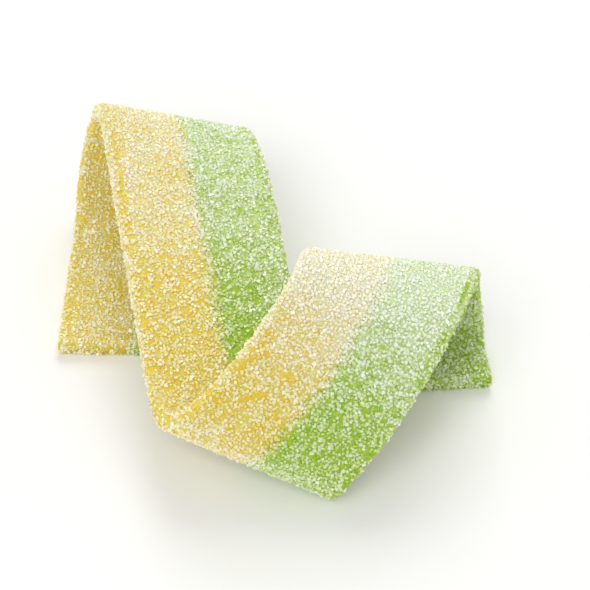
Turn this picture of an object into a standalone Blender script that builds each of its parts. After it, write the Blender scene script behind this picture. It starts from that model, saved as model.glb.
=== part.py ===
# Sour candy belt: a yellow and a green gel band side by side, sugared all over and loosely folded.
# Sizes are millimetres, made into metres for the mesh. The belt lies on the floor at z = 0, its
# box stands over the origin and its front looks towards -Y.
import math

import bpy
import numpy as np

# The belt laid out straight
belt_length = 168.0
belt_width = 22.0
belt_thickness = 2.6
band_gap = 0.3
edge_round = 0.45
grain_depth = 0.2
edge_wear = 0.15
lying_height = 0.06

# Where its first cut end lies and which way it sets off, in degrees from +Y towards +X
start_point = (-18.59, -2.964)
start_heading = 5.3

# Bends across the belt: where the middle is, how long the bend is, how far it turns (degrees).
# A positive turn lifts the belt off the floor, a negative one folds it the other way.
bends = {
    "back loop": (39.5, 50.0, 201.23),
    "long slope": (74.0, 34.0, -0.5),
    "front fold": (102.5, 14.0, -129.3),
    "rise": (122.0, 26.0, -29.2),
    "second loop": (136.0, 30.0, -114.62),
    "tuck under": (159.0, 11.0, -106.58),
}

# Soft sideways swings of the belt in its own plane, as for the bends
swings = {
    "back loop": (40.0, 30.0, 8.7),
    "front fold": (108.0, 24.0, -15.0),
}

# Twists round the middle line, as for the bends
twists = {
    "back loop": (38.0, 36.0, -0.98),
    "long slope": (76.0, 40.0, -11.6),
    "second loop": (148.0, 24.0, 7.15),
}

# How far the bends are slanted away from square across the belt: distance along it, degrees
slants = (
    (0.0, 0.0),
    (27.0, 20.6),
    (40.0, -3.4),
    (53.0, 32.5),
    (95.0, 42.0),
    (110.0, 9.6),
    (122.0, -4.5),
    (136.0, 32.1),
    (159.0, 7.1),
    (belt_length, 0.0),
)

# Mesh
walk_step = 0.25
station_length = 1.6
station_turn = 15.0
metres = 0.001
sharp_angle = 40.0
columns = (band_gap / 2, 1.9, 3.7, 5.5, 7.3, 9.1, belt_width / 2 - edge_round, belt_width / 2)

# How the two gels look under their sugar: colour (linear), roughness
yellow_look = ((0.70, 0.56, 0.24, 1.0), 0.75)
green_look = ((0.46, 0.56, 0.22, 1.0), 0.75)


def share(x):
    """How much of a bend is done at x, easing in and out between 0 and 1."""
    x = np.clip(x, 0.0, 1.0)
    return x - np.sin(2 * math.pi * x) / (2 * math.pi)


def total(table, along):
    """How far a table of bends has turned at each place along the belt, in radians."""
    turned = np.zeros(len(along))
    for middle, length, degrees in table.values():
        turned += math.radians(degrees) * share((along - (middle - length / 2)) / length)
    return turned


def rotation(vector):
    """The turn round a vector by its own length in radians."""
    angle = np.linalg.norm(vector)
    if angle < 1e-12:
        return np.eye(3)
    x, y, z = vector / angle
    cross = np.array([[0, -z, y], [z, 0, -x], [-y, x, 0]])
    return np.eye(3) + math.sin(angle) * cross + (1 - math.cos(angle)) * cross @ cross


def walk():
    """Follows the middle line: places along it, points, rulings, face normals and turned angle."""
    count = int(round(belt_length / walk_step)) + 1
    along = np.linspace(0.0, belt_length, count)
    turn = total(bends, along)
    swing = total(swings, along)
    twist = total(twists, along)
    slant = np.tan(np.radians(np.interp(along, [s[0] for s in slants], [s[1] for s in slants])))
    heading = math.radians(start_heading)
    forward = np.array([math.sin(heading), math.cos(heading), 0.0])
    side = np.array([math.cos(heading), -math.sin(heading), 0.0])
    normal = np.array([0.0, 0.0, -1.0])
    point = np.array([start_point[0], start_point[1], belt_thickness / 2])
    points = [point]
    rulings = [side + slant[0] * forward]
    normals = [normal]
    for i in range(count - 1):
        ruling = side + (slant[i] + slant[i + 1]) / 2 * forward
        spin = ruling / np.linalg.norm(ruling) * (turn[i + 1] - turn[i])
        spin = spin + normal * (swing[i + 1] - swing[i]) + forward * (twist[i + 1] - twist[i])
        point = point + rotation(spin / 2) @ forward * walk_step
        step = rotation(spin)
        forward = step @ forward
        side = step @ side
        normal = step @ normal
        points.append(point)
        rulings.append(side + slant[i + 1] * forward)
        normals.append(normal)
    spread = sum(abs(np.gradient(total(table, along))) for table in (bends, swings, twists))
    return along, np.array(points), np.array(rulings), np.array(normals), spread


def stations(spread):
    """Which steps of the walk become rings of the mesh, closer together where it bends."""
    weight = walk_step / station_length + np.degrees(spread) / station_turn
    amount = np.concatenate([[0.0], np.cumsum(weight[1:])])
    wanted = np.linspace(0.0, amount[-1], int(round(amount[-1])) + 1)
    return [int(np.argmin(abs(amount - w))) for w in wanted]


def press(point, lift):
    """A point of the skin, flat where it lies on the floor and rough with sugar elsewhere."""
    if point[2] < lying_height:
        return (point[0], point[1], 0.0)
    rough = point + lift
    return (rough[0], rough[1], max(rough[2], 0.0))


def sugared_gel(name, look):
    """The dull, sugar-coated gel of one band."""
    colour, roughness = look
    material = bpy.data.materials.new(name)
    material.diffuse_color = colour
    material.use_nodes = True
    shader = material.node_tree.nodes["Principled BSDF"]
    shader.inputs["Base Color"].default_value = colour
    shader.inputs["Roughness"].default_value = roughness
    shader.inputs["Metallic"].default_value = 0.0
    return material


def band(name, sign, look, seed):
    """One gel band as a closed skin: sign -1 is the left one, +1 the right one."""
    grains = np.random.default_rng(seed)
    along, points, rulings, normals, spread = walk()
    rings = stations(spread)
    outer = len(columns) - 1
    vertices = []
    for i in rings:
        ring = []
        for face in (1, -1):
            row = []
            for k, distance in enumerate(columns):
                half = belt_thickness / 2 - (edge_round if k == outer else 0.0)
                across = sign * distance
                place = points[i] + rulings[i] * across + normals[i] * (face * half)
                lift = -face * normals[i] * grains.uniform(0.0, grain_depth)
                if k == outer:
                    lift = lift - sign * rulings[i] * grains.uniform(0.0, edge_wear)
                row.append(press(place, lift))
            ring += row if face == 1 else row[::-1]
        vertices += ring
    size = 2 * len(columns)
    faces = []
    for r in range(len(rings) - 1):
        for k in range(size):
            a = r * size + k
            b = r * size + (k + 1) % size
            faces.append((a, b, b + size))
            faces.append((a, b + size, a + size))
    last = (len(rings) - 1) * size
    for k in range(outer):
        near = (k, k + 1, size - 2 - k, size - 1 - k)
        far = tuple(last + v for v in near)
        faces.append((near[0], near[2], near[1]))
        faces.append((near[0], near[3], near[2]))
        faces.append((far[0], far[1], far[2]))
        faces.append((far[0], far[2], far[3]))
    if sign > 0:
        faces = [face[::-1] for face in faces]
    mesh = bpy.data.meshes.new(name)
    mesh.from_pydata([tuple(metres * c for c in vertex) for vertex in vertices], [], faces)
    mesh.materials.append(sugared_gel(name + "_gel", look))
    mesh.shade_smooth()
    mesh.set_sharp_from_angle(angle=math.radians(sharp_angle))
    node = bpy.data.objects.new(name, mesh)
    bpy.context.collection.objects.link(node)
    return node


def main():
    for old in list(bpy.data.objects):
        bpy.data.objects.remove(old, do_unlink=True)
    band("yellow_band", -1, yellow_look, seed=11)
    band("green_band", 1, green_look, seed=23)


main()
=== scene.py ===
"""Sugared sour candy belt, yellow and green, loosely folded over itself on a white table."""
import math

import bpy
import numpy as np
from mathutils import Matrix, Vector
from mathutils import noise

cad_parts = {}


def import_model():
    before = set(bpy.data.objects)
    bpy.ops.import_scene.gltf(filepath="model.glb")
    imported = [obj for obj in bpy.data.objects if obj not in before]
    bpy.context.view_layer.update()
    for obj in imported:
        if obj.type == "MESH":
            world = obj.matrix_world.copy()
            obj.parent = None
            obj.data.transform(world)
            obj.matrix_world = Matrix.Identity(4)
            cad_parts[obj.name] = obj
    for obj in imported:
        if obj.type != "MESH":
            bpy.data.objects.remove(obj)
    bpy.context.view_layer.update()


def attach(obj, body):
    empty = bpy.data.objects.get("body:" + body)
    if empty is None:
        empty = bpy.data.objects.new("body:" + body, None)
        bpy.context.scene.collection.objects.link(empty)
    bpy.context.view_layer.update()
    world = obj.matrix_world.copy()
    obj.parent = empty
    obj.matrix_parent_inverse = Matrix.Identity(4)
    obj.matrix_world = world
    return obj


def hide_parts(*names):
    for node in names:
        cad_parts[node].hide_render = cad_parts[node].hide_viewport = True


MM = 0.001

# The belt as the solids have it, in millimetres and degrees
BELT_LENGTH = 168.0
BELT_WIDTH = 22.0
BELT_THICKNESS = 2.6
START_POINT = (-18.59, -2.964)
START_HEADING = 5.3
# Bends across the belt: where the middle is, how long the bend is, how far it turns
BENDS = {
    "back loop": (39.5, 50.0, 201.23),
    "long slope": (74.0, 34.0, -0.5),
    "front fold": (102.5, 14.0, -129.3),
    "rise": (122.0, 26.0, -29.2),
    "second loop": (136.0, 30.0, -114.62),
    "tuck under": (159.0, 11.0, -106.58),
}
# Sideways swings in the belt's own plane, and twists round its middle line, as for the bends
SWINGS = {
    "back loop": (40.0, 30.0, 8.7),
    "front fold": (108.0, 24.0, -15.0),
}
TWISTS = {
    "back loop": (38.0, 36.0, -0.98),
    "long slope": (76.0, 40.0, -11.6),
    "second loop": (148.0, 24.0, 7.15),
}
# How far the bends are slanted away from square across the belt: place along it, degrees
SLANTS = (
    (0.0, 0.0),
    (27.0, 20.6),
    (40.0, -3.4),
    (53.0, 32.5),
    (95.0, 42.0),
    (110.0, 9.6),
    (122.0, -4.5),
    (136.0, 32.1),
    (159.0, 7.1),
    (BELT_LENGTH, 0.0),
)

# The gel under the sugar: how much of the thickness is sugar on each face, how the cut edges are
# rounded, and how unevenly it was cast and cut
SUGAR_CRUST = 0.22
GEL_HALF = BELT_THICKNESS / 2 - SUGAR_CRUST
EDGE_INSET = 0.2
EDGE_RADIUS = 0.62
EDGE_ROUNDNESS = 0.7
SEAM_WANDER = 0.55
WIDTH_WANDER = 0.28
FACE_DIMPLES = 0.07
DIMPLE_SIZE = 2.2
# Waves of the seam, the cut edges and the bare stripe: wavelength, row of the noise, share
SEAM_WAVES = ((9.0, 3.3, 1.0), (3.0, 8.1, 0.4))
EDGE_WAVES = ((12.0, 0.0, 1.0), (1.7, 4.0, 0.45))
STRIPE_WAVES = ((3.5, 7.0, 1.0),)
NOISE_LAYER = 0.5
# Its mesh
WALK_STEP = 0.25
RING_STEP = 0.5
FACE_COLUMNS = 20
CORNER_POINTS = 4
SEAM_POINTS = 3
ROWS_APART = 11.0

# How white the sugar lies along the belt, 0 for little sugar and 1 for a thick white coat:
# on the face that lies down at the first cut end, and on the other face. Partly the real coat and
# partly painted light and shade: the other face whitens up to the top of the second loop as a
# painted sheen, and both faces are barer towards the front fold as painted shade
FIRST_FACE_FROST_AND_PAINTED_LIGHT = (
    (0.0, 0.35), (36.0, 0.45), (50.0, 0.7), (66.0, 0.6), (79.0, 0.2), (94.0, 0.1), (99.0, 0.35),
    (106.0, 0.3), (130.0, 0.25), (BELT_LENGTH, 0.35),
)
OTHER_FACE_FROST_AND_PAINTED_LIGHT = (
    (0.0, 0.35), (30.0, 0.3), (92.0, 0.25), (98.0, 0.55), (104.0, 0.5), (109.0, 0.15), (115.0, 0.3),
    (120.0, 0.55), (126.0, 1.0), (132.0, 1.5), (142.0, 0.85), (156.0, 0.4), (BELT_LENGTH, 0.35),
)
# How much less of it the green half has; its rise on the lower slope, from 78 to 94, is painted
# shade
GREEN_LESS_FROST_AND_PAINTED_SHADE = (
    (0.0, 0.0), (70.0, 0.0), (78.0, 0.15), (86.0, 0.42), (94.0, 0.35), (106.0, 0.1), (112.0, 0.12),
    (124.0, 0.15), (132.0, 0.12), (140.0, 0.05), (BELT_LENGTH, 0.0),
)
# How white it lies on the cut edges
FROST_YELLOW_EDGE = (
    (0.0, 0.2), (34.0, 0.2), (42.0, 0.6), (98.0, 0.5), (106.0, 0.2), (110.0, 0.2), (114.0, 0.4),
    (119.0, 0.9), (138.0, 1.0), (148.0, 0.3), (BELT_LENGTH, 0.2),
)
FROST_GREEN_EDGE = (
    (0.0, 0.2), (40.0, 0.4), (70.0, 0.4), (84.0, 0.2), (122.0, 0.3), (129.0, 0.0), (141.0, 0.0),
    (150.0, 0.2), (BELT_LENGTH, 0.2),
)
# A broken, barer stripe on the faces beside the cut edges: how far it is from the edge, its half
# width, and how bare it is along the belt
YELLOW_RIM = (1.2, 0.9, (
    (0.0, 0.4), (36.0, 0.6), (42.0, 1.0), (72.0, 1.0), (80.0, 0.5), (100.0, 0.2), (124.0, 0.2),
    (130.0, 0.0), (142.0, 0.0), (152.0, 0.4), (BELT_LENGTH, 0.4),
))
GREEN_RIM = (0.95, 0.7, (
    (0.0, 0.3), (40.0, 0.4), (74.0, 0.4), (82.0, 0.2), (124.0, 0.2), (128.0, 1.3), (142.0, 1.3),
    (147.0, 0.3), (BELT_LENGTH, 0.3),
))
STRIPE_UNBROKEN = 0.7
# How much sugar the stripe loses, how much a cut edge keeps, and how suddenly an edge begins
RIM_COVER = 0.4
EDGE_COVER = 0.45
FACE_SHARPNESS = 6
# Patches of more and less sugar: how strong they are, and the sizes of the large and small ones
FROST_PATCHES = 0.22
PATCH_SIZE = 3.5
SMALL_PATCH_SIZE = 1.3
SMALL_PATCH_SHARE = 0.6
# Clumps of sugar with barer gel between them: their size, and how much whiter they are
CLUMP_SIZE = 1.0
CLUMP_WHITENESS = 1.35

# The two sizes of sugar grain: spacing, smallest and largest, in millimetres
COARSE_GRAINS = (0.351, 0.32, 0.57)
FINE_GRAINS = (0.266, 0.2, 0.4)
# Most grains to the square metre, before the spacing thins them
MOST_GRAINS = 2.0e7
# A heap grows with the coat, whose whiteness carries painted light and shade as well, and between
# its lowest and highest the grains get closer together
COAT_HEAPS = 0.2
HEAP_RANGE = (0.36, 0.62)
THINNEST_SHARE = 0.65
# How deep a grain's middle is pressed into the gel, and how far its tip stands off it
GRAIN_SINK = 0.07
TIP_HEIGHT = 0.26
# Grain shapes: how many, how wide and how thick for a length of 1, and how crooked
GRAIN_SHAPES = 6
GRAIN_WIDTHS = (0.65, 0.95)
GRAIN_DEPTHS = (0.5, 0.8)
GRAIN_CROOK = 0.13
BLOCKY_SEED = 7
SPLINTER_SEED = 8
TURN_SEED = 5
CHANCE_SEED = 9

# The colours of the yellow half and of the green half
DULL_GEL = ("#E2D348", "#A7C728")
DEEP_GEL = ("#F1C324", "#8DB60E")
SUGAR_DUST = ("#FFF6C6", "#E2F2B0")
WARM_TINTED_GRAIN = ("#F5D965", "#B4D45A")
FRESH_TINTED_GRAIN = ("#EAE274", "#CADC6A")
WARM_WHITE_GRAIN = ("#FEF3E4", "#EEF3E4")
FRESH_WHITE_GRAIN = ("#F8F6D4", "#E8F6D4")
# How wide they run together at the seam and how far that wanders, in millimetres, and how many
# blotches the wandering has in a millimetre
BLEND_WIDTH = 2.8
BLEND_WANDER = 2.4
BLEND_BLOTCHES = 0.7
# Sizes of the deeper places in the gel and of the dust specks on it, in millimetres, and the part
# of the noise over which the gel deepens
DEEP_PLACES = 0.6
DUST_SPECKS = 0.2
DEEP_RANGE = (0.38, 0.62)
# Dust grows with the specks and the whiteness, from none to a full coat, and stands up a little
SPECK_STRENGTH = 1.8
DUST_RANGE = (1.75, 2.75)
DUST_BUMP = 0.1
# A grain's whiteness at its foot and at its tip, and where it is fully tinted and fully white.
# The tinted foot is partly the gel seen through a clear grain and partly painted light, a warm
# glow put into the shaded crevices between the grains
FOOT_TO_TIP = (-0.6, 0.3)
GRAIN_RANGE = (0.6, 2.15)

# The studio, in millimetres and watts
TABLE_HALF = 1500.0
TABLE_WHITE = "#F7F7F5"
ROOM_LIGHT = 0.54
LAMPS = (
    ("back_light", (180.0, 780.0, 960.0), 6.2, 720.0),
    ("front_light", (-360.0, -810.0, 990.0), 7.6, 840.0),
)
CAMERA_PLACE = (-8.5, -184.9, 193.8)
LOOK_POINT = (3.5, -1.5, 9.0)
LENS = 117.0
SENSOR = 36.0
NEAREST_SEEN = 10.0


def share(x):
    """How much of a bend is done at x, easing in and out between 0 and 1."""
    x = np.clip(x, 0.0, 1.0)
    return x - np.sin(2 * math.pi * x) / (2 * math.pi)


def total(table, along):
    """How far a table of bends has turned at each place along the belt, in radians."""
    turned = np.zeros(len(along))
    for middle, length, degrees in table.values():
        turned += math.radians(degrees) * share((along - (middle - length / 2)) / length)
    return turned


def rotation(vector):
    """The turn round a vector by its own length in radians."""
    angle = np.linalg.norm(vector)
    if angle < 1e-12:
        return np.eye(3)
    x, y, z = vector / angle
    cross = np.array([[0, -z, y], [z, 0, -x], [-y, x, 0]])
    return np.eye(3) + math.sin(angle) * cross + (1 - math.cos(angle)) * cross @ cross


def at(table, u):
    """The value of a table of (place along the belt, value) at one place or at many."""
    return np.interp(u, [t[0] for t in table], [t[1] for t in table])


def walk():
    """Follows the belt's middle line: places along it, points, rulings and face normals."""
    count = int(round(BELT_LENGTH / WALK_STEP)) + 1
    along = np.linspace(0.0, BELT_LENGTH, count)
    turn = total(BENDS, along)
    swing = total(SWINGS, along)
    twist = total(TWISTS, along)
    slant = np.tan(np.radians(at(SLANTS, along)))
    heading = math.radians(START_HEADING)
    forward = np.array([math.sin(heading), math.cos(heading), 0.0])
    side = np.array([math.cos(heading), -math.sin(heading), 0.0])
    normal = np.array([0.0, 0.0, -1.0])
    point = np.array([START_POINT[0], START_POINT[1], BELT_THICKNESS / 2])
    points = [point]
    rulings = [side + slant[0] * forward]
    normals = [normal]
    for i in range(count - 1):
        ruling = side + (slant[i] + slant[i + 1]) / 2 * forward
        spin = ruling / np.linalg.norm(ruling) * (turn[i + 1] - turn[i])
        spin = spin + normal * (swing[i + 1] - swing[i]) + forward * (twist[i + 1] - twist[i])
        point = point + rotation(spin / 2) @ forward * WALK_STEP
        step = rotation(spin)
        forward = step @ forward
        side = step @ side
        normal = step @ normal
        points.append(point)
        rulings.append(side + slant[i + 1] * forward)
        normals.append(normal)
    return along, np.array(points), np.array(rulings), np.array(normals)


def wander(u, waves, row=0.0):
    """A smooth chance value of about -1 to 1 at one place along the belt."""
    return sum(part * noise.noise(Vector((u / wavelength, row + shift, NOISE_LAYER)))
               for wavelength, shift, part in waves)


def round_side(angle):
    """The height share on the belt's side: a flat-backed round rather than a half circle."""
    return math.copysign(abs(math.sin(angle)) ** EDGE_ROUNDNESS, math.sin(angle))


def cross_section(seam, edge, sign):
    """Points round one band at one place, as (distance from the middle line, height share)."""
    reach = edge - EDGE_RADIUS
    top = [(sign * v, 1.0) for v in np.linspace(sign * seam, reach, FACE_COLUMNS + 1)]
    corner = []
    for k in range(1, 2 * CORNER_POINTS):
        angle = math.pi / 2 - math.pi * k / (2 * CORNER_POINTS)
        corner.append((sign * (reach + EDGE_RADIUS * math.cos(angle)), round_side(angle)))
    bottom = [(v, -1.0) for v, height in reversed(top)]
    wall = [(seam, -1.0 + 2.0 * k / (SEAM_POINTS + 1)) for k in range(1, SEAM_POINTS + 1)]
    return top + corner + bottom + wall


def tube_faces(rings, size, sign):
    """The faces of a closed tube of rings, with an end face at each cut end."""
    faces = []
    for r in range(rings - 1):
        for k in range(size):
            a = r * size + k
            b = r * size + (k + 1) % size
            faces.append((a, b, b + size, a + size))
    faces.append(tuple(reversed(range(size))))
    faces.append(tuple(range((rings - 1) * size, rings * size)))
    if sign > 0:
        faces = [face[::-1] for face in faces]
    return faces


def new_object(name, data):
    """A new object in the scene, at the origin."""
    made = bpy.data.objects.new(name, data)
    bpy.context.collection.objects.link(made)
    return made


def gel_skin(name, sign, rows):
    """The closed gel body of one band: sign -1 is the left one, +1 the right one. Each point keeps
    its distance from the seam, how white the sugar is there, painted light and shade included, and
    how much of it there is."""
    along, points, rulings, normals = walk()
    skip = int(round(RING_STEP / WALK_STEP))
    edge_table = FROST_YELLOW_EDGE if sign < 0 else FROST_GREEN_EDGE
    rim_place, rim_width, bareness = YELLOW_RIM if sign < 0 else GREEN_RIM
    vertices = []
    across = []
    frost = []
    cover = []
    size = 0
    for i in range(0, len(along), skip):
        u = along[i]
        seam = SEAM_WANDER * wander(u, SEAM_WAVES)
        edge = BELT_WIDTH / 2 - EDGE_INSET + WIDTH_WANDER * wander(u, EDGE_WAVES, rows)
        ring = cross_section(seam, edge, sign)
        size = len(ring)
        edge_white = at(edge_table, u)
        # Less sugar on the green half, with painted shade on its lower slope
        less = at(GREEN_LESS_FROST_AND_PAINTED_SHADE, u) if sign > 0 else 0.0
        stripe = at(bareness, u) * max(0.0, STRIPE_UNBROKEN + wander(u, STRIPE_WAVES, rows))
        for v, height in ring:
            flat = points[i] + rulings[i] * v
            dimple = FACE_DIMPLES * noise.noise(Vector(flat + normals[i] * height) / DIMPLE_SIZE)
            lifted = flat + normals[i] * (height * GEL_HALF + math.copysign(dimple, height))
            vertices.append(tuple(lifted * MM))
            across.append(v - seam)
            # The sugar's whiteness here is the real coat with painted light and shade in it
            white = at(FIRST_FACE_FROST_AND_PAINTED_LIGHT if height > 0 else OTHER_FACE_FROST_AND_PAINTED_LIGHT, u) - less
            patch = noise.noise(Vector(flat) / PATCH_SIZE)
            patch += SMALL_PATCH_SHARE * noise.noise(Vector(flat) / SMALL_PATCH_SIZE)
            face = min(1.0, abs(height) ** FACE_SHARPNESS)
            rim = min(1.0, stripe * max(0.0, 1.0 - abs(edge - abs(v) - rim_place) / rim_width))
            coat_and_painted_light = edge_white + (white - edge_white) * face + FROST_PATCHES * patch
            frost.append(coat_and_painted_light * (1.0 - rim))
            thin = EDGE_COVER + (1.0 - EDGE_COVER) * edge_white
            cover.append(thin + (1.0 - thin) * face - RIM_COVER * rim)
    mesh = bpy.data.meshes.new(name)
    mesh.from_pydata(vertices, [], tube_faces(len(vertices) // size, size, sign))
    mesh.shade_smooth()
    for label, values in (("across", across), ("frost", frost), ("cover", cover)):
        mesh.attributes.new(label, "FLOAT", "POINT").data.foreach_set("value", values)
    return new_object(name, mesh)


def linear(text):
    """An sRGB hex colour as linear red, green, blue and alpha."""
    values = [int(text[i:i + 2], 16) / 255 for i in (1, 3, 5)]
    return tuple(c / 12.92 if c <= 0.04045 else ((c + 0.055) / 1.055) ** 2.4 for c in values) + (1.0,)


def add(tree, kind, settings=None, **inputs):
    """Adds a node: its settings, then its inputs by name, each a value or another node's output.
    An input called _2 is the third one."""
    made = tree.nodes.new(kind)
    for key, value in (settings or {}).items():
        setattr(made, key, value)
    for key, value in inputs.items():
        socket = made.inputs[int(key[1:])] if key[1:].isdigit() else made.inputs[key.replace("_", " ")]
        if isinstance(value, bpy.types.NodeSocket):
            tree.links.new(value, socket)
        else:
            socket.default_value = value
    return made


def new_material(name):
    """An empty material and its node tree."""
    material = bpy.data.materials.new(name)
    material.use_nodes = True
    material.node_tree.nodes.clear()
    return material, material.node_tree


def two_tone(tree, colours):
    """Yellow on the left of the seam and green on the right, run together over about 2 millimetres."""
    across = add(tree, "ShaderNodeAttribute", {"attribute_name": "across"})
    place = add(tree, "ShaderNodeTexCoord")
    blotch = add(tree, "ShaderNodeTexNoise", Vector=place.outputs["Object"], Scale=BLEND_BLOTCHES / MM,
                 Detail=2.0)
    shifted = add(tree, "ShaderNodeMath", {"operation": "MULTIPLY_ADD"},
                  _0=blotch.outputs[0], _1=BLEND_WANDER, _2=across.outputs["Fac"])
    side = add(tree, "ShaderNodeMapRange", {"interpolation_type": "SMOOTHSTEP"},
               Value=shifted.outputs[0], From_Min=(BLEND_WANDER - BLEND_WIDTH) / 2,
               From_Max=(BLEND_WANDER + BLEND_WIDTH) / 2)
    yellow, green = colours
    return add(tree, "ShaderNodeMix", {"data_type": "RGBA"},
               _0=side.outputs[0], _6=linear(yellow), _7=linear(green)).outputs[2]


def whiteness(tree):
    """How white the sugar is at a place: its coat there, with the painted light and shade in it, and
    the millimetre clumps in it.
    """
    place = add(tree, "ShaderNodeTexCoord")
    frost = add(tree, "ShaderNodeAttribute", {"attribute_name": "frost"})
    clump = add(tree, "ShaderNodeTexNoise", Vector=place.outputs["Object"],
                Scale=1.0 / (CLUMP_SIZE * MM), Detail=2.0)
    return add(tree, "ShaderNodeMath", {"operation": "MULTIPLY_ADD"},
               _0=clump.outputs[0], _1=CLUMP_WHITENESS, _2=frost.outputs["Fac"]).outputs[0]


def gel_material():
    """Starch gel, cast and cut: soft, cloudy and wet-looking, with sugar dust stuck to it."""
    material, tree = new_material("starch_gel")
    place = add(tree, "ShaderNodeTexCoord")
    # The gel's colour is deeper in some places than in others, over about half a millimetre
    depth = add(tree, "ShaderNodeTexNoise", Vector=place.outputs["Object"],
                Scale=1.0 / (DEEP_PLACES * MM), Detail=1.0)
    deep = add(tree, "ShaderNodeMapRange", Value=depth.outputs[0],
               From_Min=DEEP_RANGE[0], From_Max=DEEP_RANGE[1])
    bare = add(tree, "ShaderNodeMix", {"data_type": "RGBA"}, _0=deep.outputs[0],
               _6=two_tone(tree, DULL_GEL), _7=two_tone(tree, DEEP_GEL))
    # Fine sugar dust lies on it in specks, thickest where the sugar is white, painted light included
    specks = add(tree, "ShaderNodeTexNoise", Vector=place.outputs["Object"],
                 Scale=1.0 / (DUST_SPECKS * MM), Detail=1.0)
    amount = add(tree, "ShaderNodeMath", {"operation": "MULTIPLY_ADD"},
                 _0=specks.outputs[0], _1=SPECK_STRENGTH, _2=whiteness(tree))
    dust = add(tree, "ShaderNodeMapRange", Value=amount.outputs[0],
               From_Min=DUST_RANGE[0], From_Max=DUST_RANGE[1])
    colour = add(tree, "ShaderNodeMix", {"data_type": "RGBA"}, _0=dust.outputs[0],
                 _6=bare.outputs[2], _7=two_tone(tree, SUGAR_DUST))
    bump = add(tree, "ShaderNodeBump", Strength=0.5, Distance=DUST_BUMP * MM, Height=specks.outputs[0])
    shader = add(tree, "ShaderNodeBsdfPrincipled", Base_Color=colour.outputs[2], Roughness=0.45, IOR=1.45,
                 Normal=bump.outputs[0], Subsurface_Weight=0.8, Subsurface_Radius=(1.0, 0.8, 0.3),
                 Subsurface_Scale=1.0 * MM)
    add(tree, "ShaderNodeOutputMaterial", Surface=shader.outputs[0])
    return material


def sugar_material():
    """Granulated sugar: small clear crystals, from frosted white to tinted by the gel under them."""
    material, tree = new_material("granulated_sugar")
    chance = add(tree, "ShaderNodeAttribute", {"attribute_name": "chance"})
    # Each grain is a little warmer or a little greener than the next
    hue = add(tree, "ShaderNodeTexWhiteNoise", {"noise_dimensions": "1D"}, W=chance.outputs["Fac"])
    tinted = add(tree, "ShaderNodeMix", {"data_type": "RGBA"}, _0=hue.outputs["Value"],
                 _6=two_tone(tree, WARM_TINTED_GRAIN), _7=two_tone(tree, FRESH_TINTED_GRAIN))
    white = add(tree, "ShaderNodeMix", {"data_type": "RGBA"}, _0=hue.outputs["Value"],
                _6=two_tone(tree, WARM_WHITE_GRAIN), _7=two_tone(tree, FRESH_WHITE_GRAIN))
    # The gel shows through the foot of a clear grain, and its tip is whiter; the tinted foot is also
    # painted light, a warm glow in the shaded crevices
    lift = add(tree, "ShaderNodeAttribute", {"attribute_name": "lift"})
    tip = add(tree, "ShaderNodeMapRange", Value=lift.outputs["Fac"], From_Min=0.0,
              From_Max=TIP_HEIGHT * MM, To_Min=FOOT_TO_TIP[0], To_Max=FOOT_TO_TIP[1])
    grain = add(tree, "ShaderNodeMath", {"operation": "ADD"}, _0=whiteness(tree), _1=chance.outputs["Fac"])
    tipped = add(tree, "ShaderNodeMath", {"operation": "ADD"}, _0=grain.outputs[0], _1=tip.outputs[0])
    amount = add(tree, "ShaderNodeMapRange", Value=tipped.outputs[0],
                 From_Min=GRAIN_RANGE[0], From_Max=GRAIN_RANGE[1])
    colour = add(tree, "ShaderNodeMix", {"data_type": "RGBA"}, _0=amount.outputs[0],
                 _6=tinted.outputs[2], _7=white.outputs[2])
    shader = add(tree, "ShaderNodeBsdfPrincipled", Base_Color=colour.outputs[2], Roughness=0.22, IOR=1.54,
                 Subsurface_Weight=0.25, Subsurface_Radius=(1.0, 0.9, 0.6), Subsurface_Scale=0.3 * MM)
    add(tree, "ShaderNodeOutputMaterial", Surface=shader.outputs[0])
    return material


def grain_shapes(name, corners, sides, seed):
    """A few sugar crystals of one kind, no two alike, about one unit long."""
    chance = np.random.default_rng(seed)
    shelf = bpy.data.collections.new(name)
    for n in range(GRAIN_SHAPES):
        stretch = (1.0, chance.uniform(*GRAIN_WIDTHS), chance.uniform(*GRAIN_DEPTHS))
        points = [[c * s + chance.uniform(-GRAIN_CROOK, GRAIN_CROOK) for c, s in zip(corner, stretch)]
                  for corner in corners]
        mesh = bpy.data.meshes.new(f"{name}_{n}")
        mesh.from_pydata(points, [], sides)
        shelf.objects.link(bpy.data.objects.new(f"{name}_{n}", mesh))
    return shelf


def blocky_grains():
    """Blunt little blocks, as coarse sugar has."""
    corners = [(x, y, z) for x in (-0.5, 0.5) for y in (-0.5, 0.5) for z in (-0.5, 0.5)]
    sides = ((0, 1, 3, 2), (4, 6, 7, 5), (0, 4, 5, 1), (2, 3, 7, 6), (0, 2, 6, 4), (1, 5, 7, 3))
    return grain_shapes("blocky_grain", corners, sides, BLOCKY_SEED)


def splinter_grains():
    """Small double points, as broken sugar has."""
    corners = [(-0.6, 0, 0), (0.6, 0, 0), (0, -0.6, 0), (0, 0.6, 0), (0, 0, -0.6), (0, 0, 0.6)]
    sides = ((1, 3, 5), (3, 0, 5), (0, 2, 5), (2, 1, 5), (3, 1, 4), (0, 3, 4), (2, 0, 4), (1, 2, 4))
    return grain_shapes("splinter_grain", corners, sides, SPLINTER_SEED)


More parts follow.
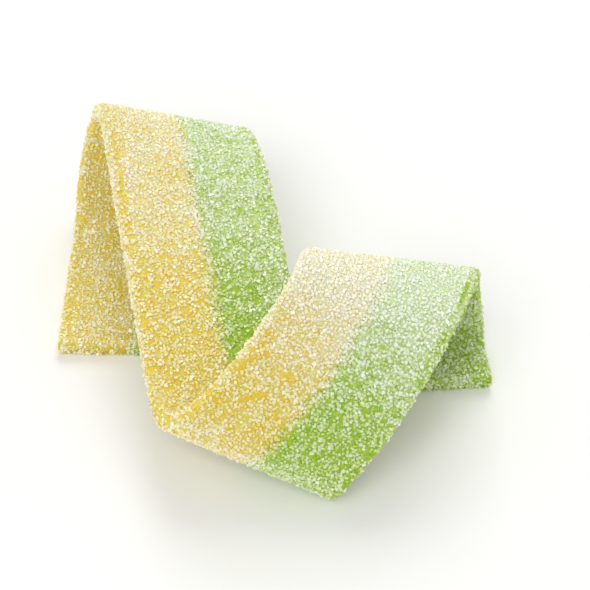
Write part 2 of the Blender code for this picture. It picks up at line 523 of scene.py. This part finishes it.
def sugar_tree(material):
    """Scatters grains over a skin, turned every way, a little sunk into it."""
    tree = bpy.data.node_groups.new("sugar_crust", "GeometryNodeTree")
    face = tree.interface
    face.new_socket("Skin", in_out="INPUT", socket_type="NodeSocketGeometry")
    face.new_socket("Grains", in_out="INPUT", socket_type="NodeSocketCollection")
    for label in ("Spacing", "Smallest", "Largest"):
        face.new_socket(label, in_out="INPUT", socket_type="NodeSocketFloat")
    face.new_socket("Seed", in_out="INPUT", socket_type="NodeSocketInt")
    face.new_socket("Crust", in_out="OUTPUT", socket_type="NodeSocketGeometry")
    given = add(tree, "NodeGroupInput").outputs
    # The grains lie closer together in a clump and where the coat is white, painted light included
    cover = add(tree, "GeometryNodeInputNamedAttribute", {"data_type": "FLOAT"}, Name="cover")
    frost = add(tree, "GeometryNodeInputNamedAttribute", {"data_type": "FLOAT"}, Name="frost")
    clump = add(tree, "ShaderNodeTexNoise", Scale=1.0 / (CLUMP_SIZE * MM), Detail=2.0)
    heap = add(tree, "ShaderNodeMath", {"operation": "MULTIPLY_ADD"},
               _0=frost.outputs[0], _1=COAT_HEAPS, _2=clump.outputs[0])
    thick = add(tree, "ShaderNodeMapRange", Value=heap.outputs[0],
                From_Min=HEAP_RANGE[0], From_Max=HEAP_RANGE[1], To_Min=THINNEST_SHARE, To_Max=1.0)
    kept = add(tree, "ShaderNodeMath", {"operation": "MULTIPLY"}, _0=cover.outputs[0], _1=thick.outputs[0])
    spread = add(tree, "GeometryNodeDistributePointsOnFaces", {"distribute_method": "POISSON"},
                 Mesh=given["Skin"], Distance_Min=given["Spacing"], Density_Max=MOST_GRAINS,
                 Density_Factor=kept.outputs[0], Seed=given["Seed"])
    press = add(tree, "ShaderNodeVectorMath", {"operation": "SCALE"}, Vector=spread.outputs["Normal"],
                Scale=-GRAIN_SINK * MM)
    pressed = add(tree, "GeometryNodeSetPosition", Geometry=spread.outputs[0], Offset=press.outputs[0])
    size = add(tree, "FunctionNodeRandomValue", _2=given["Smallest"], _3=given["Largest"],
               Seed=given["Seed"])
    turn = add(tree, "FunctionNodeRandomValue", {"data_type": "FLOAT_VECTOR"}, _1=(2 * math.pi,) * 3,
               Seed=TURN_SEED)
    grains = add(tree, "GeometryNodeCollectionInfo", Collection=given["Grains"], Separate_Children=True)
    placed = add(tree, "GeometryNodeInstanceOnPoints", Points=pressed.outputs[0],
                 Instance=grains.outputs[0], Pick_Instance=True, Rotation=turn.outputs[0],
                 Scale=size.outputs[1])
    # A chance number for each grain, and how far each of its corners stands off the gel
    chance = add(tree, "FunctionNodeRandomValue", Seed=CHANCE_SEED)
    marked = add(tree, "GeometryNodeStoreNamedAttribute", {"domain": "INSTANCE"},
                 Geometry=placed.outputs[0], Name="chance", Value=chance.outputs[1])
    real = add(tree, "GeometryNodeRealizeInstances", Geometry=marked.outputs[0])
    reach = add(tree, "GeometryNodeProximity", _0=given["Skin"])
    raised = add(tree, "GeometryNodeStoreNamedAttribute", Geometry=real.outputs[0], Name="lift",
                 Value=reach.outputs["Distance"])
    done = add(tree, "GeometryNodeSetMaterial", Geometry=raised.outputs[0], Material=material)
    add(tree, "NodeGroupOutput", Crust=done.outputs[0])
    return tree


def sugar_crust(name, skin, tree, grains, measures, seed):
    """The grains of one kind on one gel body, as one plain mesh."""
    spacing, smallest, largest = measures
    maker = new_object(name + "_maker", skin.data.copy())
    modifier = maker.modifiers.new("sugar", "NODES")
    modifier.node_group = tree
    wanted = {"Grains": grains, "Spacing": spacing * MM, "Smallest": smallest * MM,
              "Largest": largest * MM, "Seed": seed}
    for socket in tree.interface.items_tree:
        if socket.in_out == "INPUT" and socket.name in wanted:
            modifier[socket.identifier] = wanted[socket.name]
    graph = bpy.context.evaluated_depsgraph_get()
    mesh = bpy.data.meshes.new_from_object(maker.evaluated_get(graph), depsgraph=graph)
    bpy.data.objects.remove(maker, do_unlink=True)
    # The grains that the belt lies on stand on the floor
    places = np.empty(3 * len(mesh.vertices), dtype=np.float32)
    mesh.vertices.foreach_get("co", places)
    places[2::3] = np.maximum(places[2::3], 0.0)
    mesh.vertices.foreach_set("co", places)
    mesh.update()
    mesh.name = name
    return new_object(name, mesh)


def table_top():
    """A white table, wide enough to fill every view."""
    half = TABLE_HALF * MM
    outline = [(-half, -half, 0), (half, -half, 0), (half, half, 0), (-half, half, 0)]
    mesh = bpy.data.meshes.new("table")
    mesh.from_pydata(outline, [], [(0, 1, 2, 3)])
    material, tree = new_material("white_card")
    shader = add(tree, "ShaderNodeBsdfPrincipled", Base_Color=linear(TABLE_WHITE), Roughness=0.9)
    add(tree, "ShaderNodeOutputMaterial", Surface=shader.outputs[0])
    mesh.materials.append(material)
    table = new_object("table", mesh)


def point_at_belt(made, place):
    """Stands a lamp or the camera at a place in millimetres, turned towards the belt."""
    made.location = Vector(place) * MM
    made.rotation_euler = (Vector(LOOK_POINT) * MM - made.location).to_track_quat("-Z", "Y").to_euler()


def studio():
    """A white room, two soft square lamps from above, behind and in front, and the camera."""
    scene = bpy.context.scene
    world = bpy.data.worlds.new("white_room")
    world.use_nodes = True
    background = world.node_tree.nodes["Background"]
    background.inputs[0].default_value = (1.0, 1.0, 1.0, 1.0)
    background.inputs[1].default_value = ROOM_LIGHT
    scene.world = world
    for name, place, watts, width in LAMPS:
        light = bpy.data.lights.new(name, "AREA")
        light.energy = watts
        light.size = width * MM
        point_at_belt(new_object(name, light), place)
    scene.view_settings.view_transform = "Standard"
    camera = bpy.data.cameras.new("camera")
    camera.lens = LENS
    camera.sensor_width = SENSOR
    camera.clip_start = NEAREST_SEEN * MM
    view = new_object("camera", camera)
    point_at_belt(view, CAMERA_PLACE)
    scene.camera = view


def corners(box):
    """A box as plain lists of numbers."""
    return [[float(c) for c in corner] for corner in box]


def main():
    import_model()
    gel = gel_material()
    tree = sugar_tree(sugar_material())
    kinds = (("coarse", blocky_grains(), COARSE_GRAINS), ("fine", splinter_grains(), FINE_GRAINS))
    for name, sign, seed in (("yellow", -1, 1), ("green", 1, 2)):
        skin = gel_skin(name + "_gel_band", sign, ROWS_APART * seed)
        skin.data.materials.append(gel)
        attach(skin, "root")
        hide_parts(name + "_band")
        for kind, grains, measures in kinds:
            crust = sugar_crust(f"{kind}_sugar_on_{name}", skin, tree, grains, measures, seed)
            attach(crust, "root")
    table_top()
    studio()


main()
